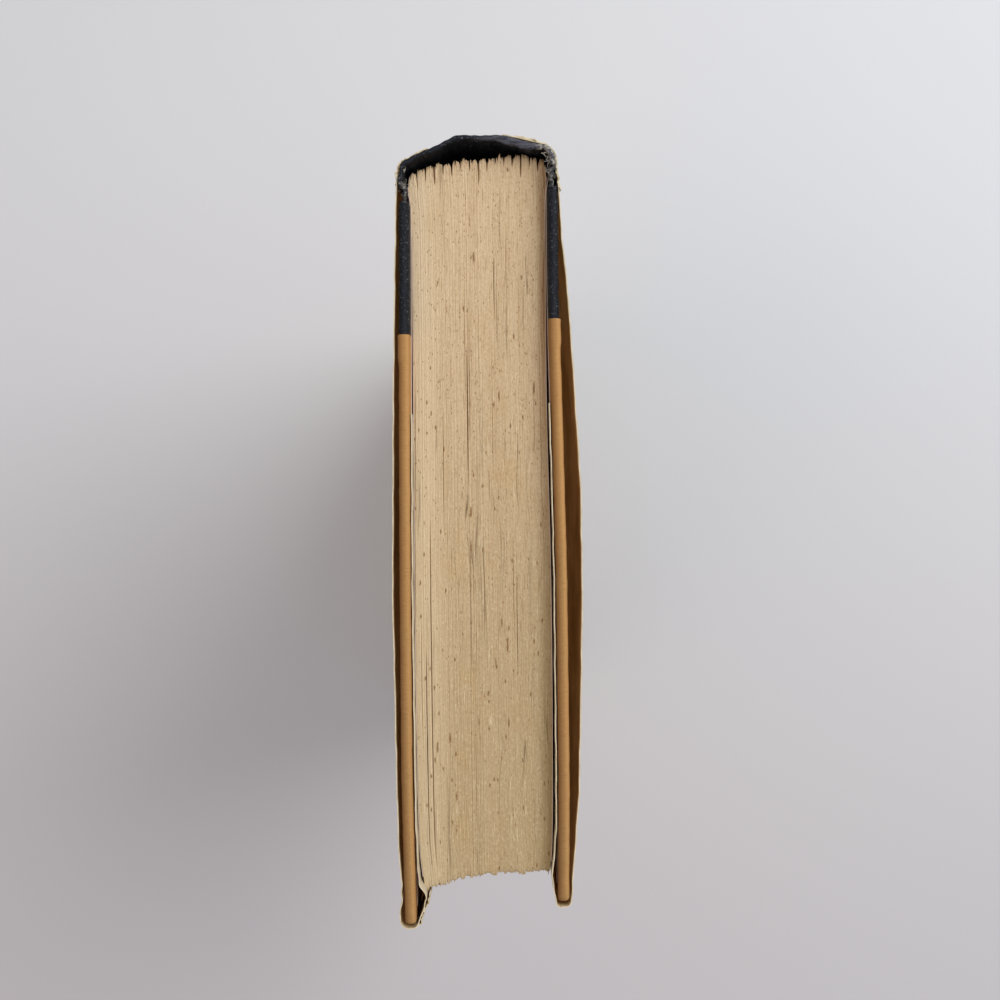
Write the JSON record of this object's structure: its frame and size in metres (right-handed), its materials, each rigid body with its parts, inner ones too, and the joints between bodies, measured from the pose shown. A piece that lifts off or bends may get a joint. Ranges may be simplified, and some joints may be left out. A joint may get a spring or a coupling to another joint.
{
  "type": "hardback book",
  "caption": "Thick hardback book in a worn paper dust jacket, quarter bound in cloth and paper over boards, with covers that open.",
  "frame": {"origin": "on the plane that the tail edges stand on, under the middle of the closed book's depth", "axes": "+Z from tail to head, +Y towards the spine, +X from the front cover to the back cover"},
  "size_m": [0.0377, 0.156, 0.216],
  "materials": {
    "pages": "matte",
    "endpaper": "matte",
    "board": "matte",
    "binding_cloth": "matte",
    "siding_paper": "matte",
    "jacket_paper": "satin",
    "spine_lining": "matte",
    "spine_card": "matte",
    "mull": "matte"
  },
  "bodies": {
    "block": {"text_block": "pages", "spine_lining": "spine_lining", "spine_inlay": "spine_card", "spine_cloth": "binding_cloth", "jacket_spine": "jacket_paper", "front_flyleaf": "endpaper", "back_flyleaf": "endpaper"},
    "front_cover": {"front_board": "board", "front_cloth": "binding_cloth", "front_siding": "siding_paper", "front_pastedown": "endpaper", "front_mull": "mull", "jacket_front": "jacket_paper"},
    "back_cover": {"back_board": "board", "back_cloth": "binding_cloth", "back_siding": "siding_paper", "back_pastedown": "endpaper", "back_mull": "mull", "jacket_back": "jacket_paper"}
  },
  "joints": [
    {"name": "front_cover_hinge", "type": "hinge", "parent": "block", "child": "front_cover", "pos_m": [-0.01616, 0.06832, 0], "axis": [0, 0, -1], "range_deg": [0, 175]},
    {"name": "back_cover_hinge", "type": "hinge", "parent": "block", "child": "back_cover", "pos_m": [0.01616, 0.07112, 0], "axis": [0, 0, 1], "range_deg": [0, 175]}
  ]
}
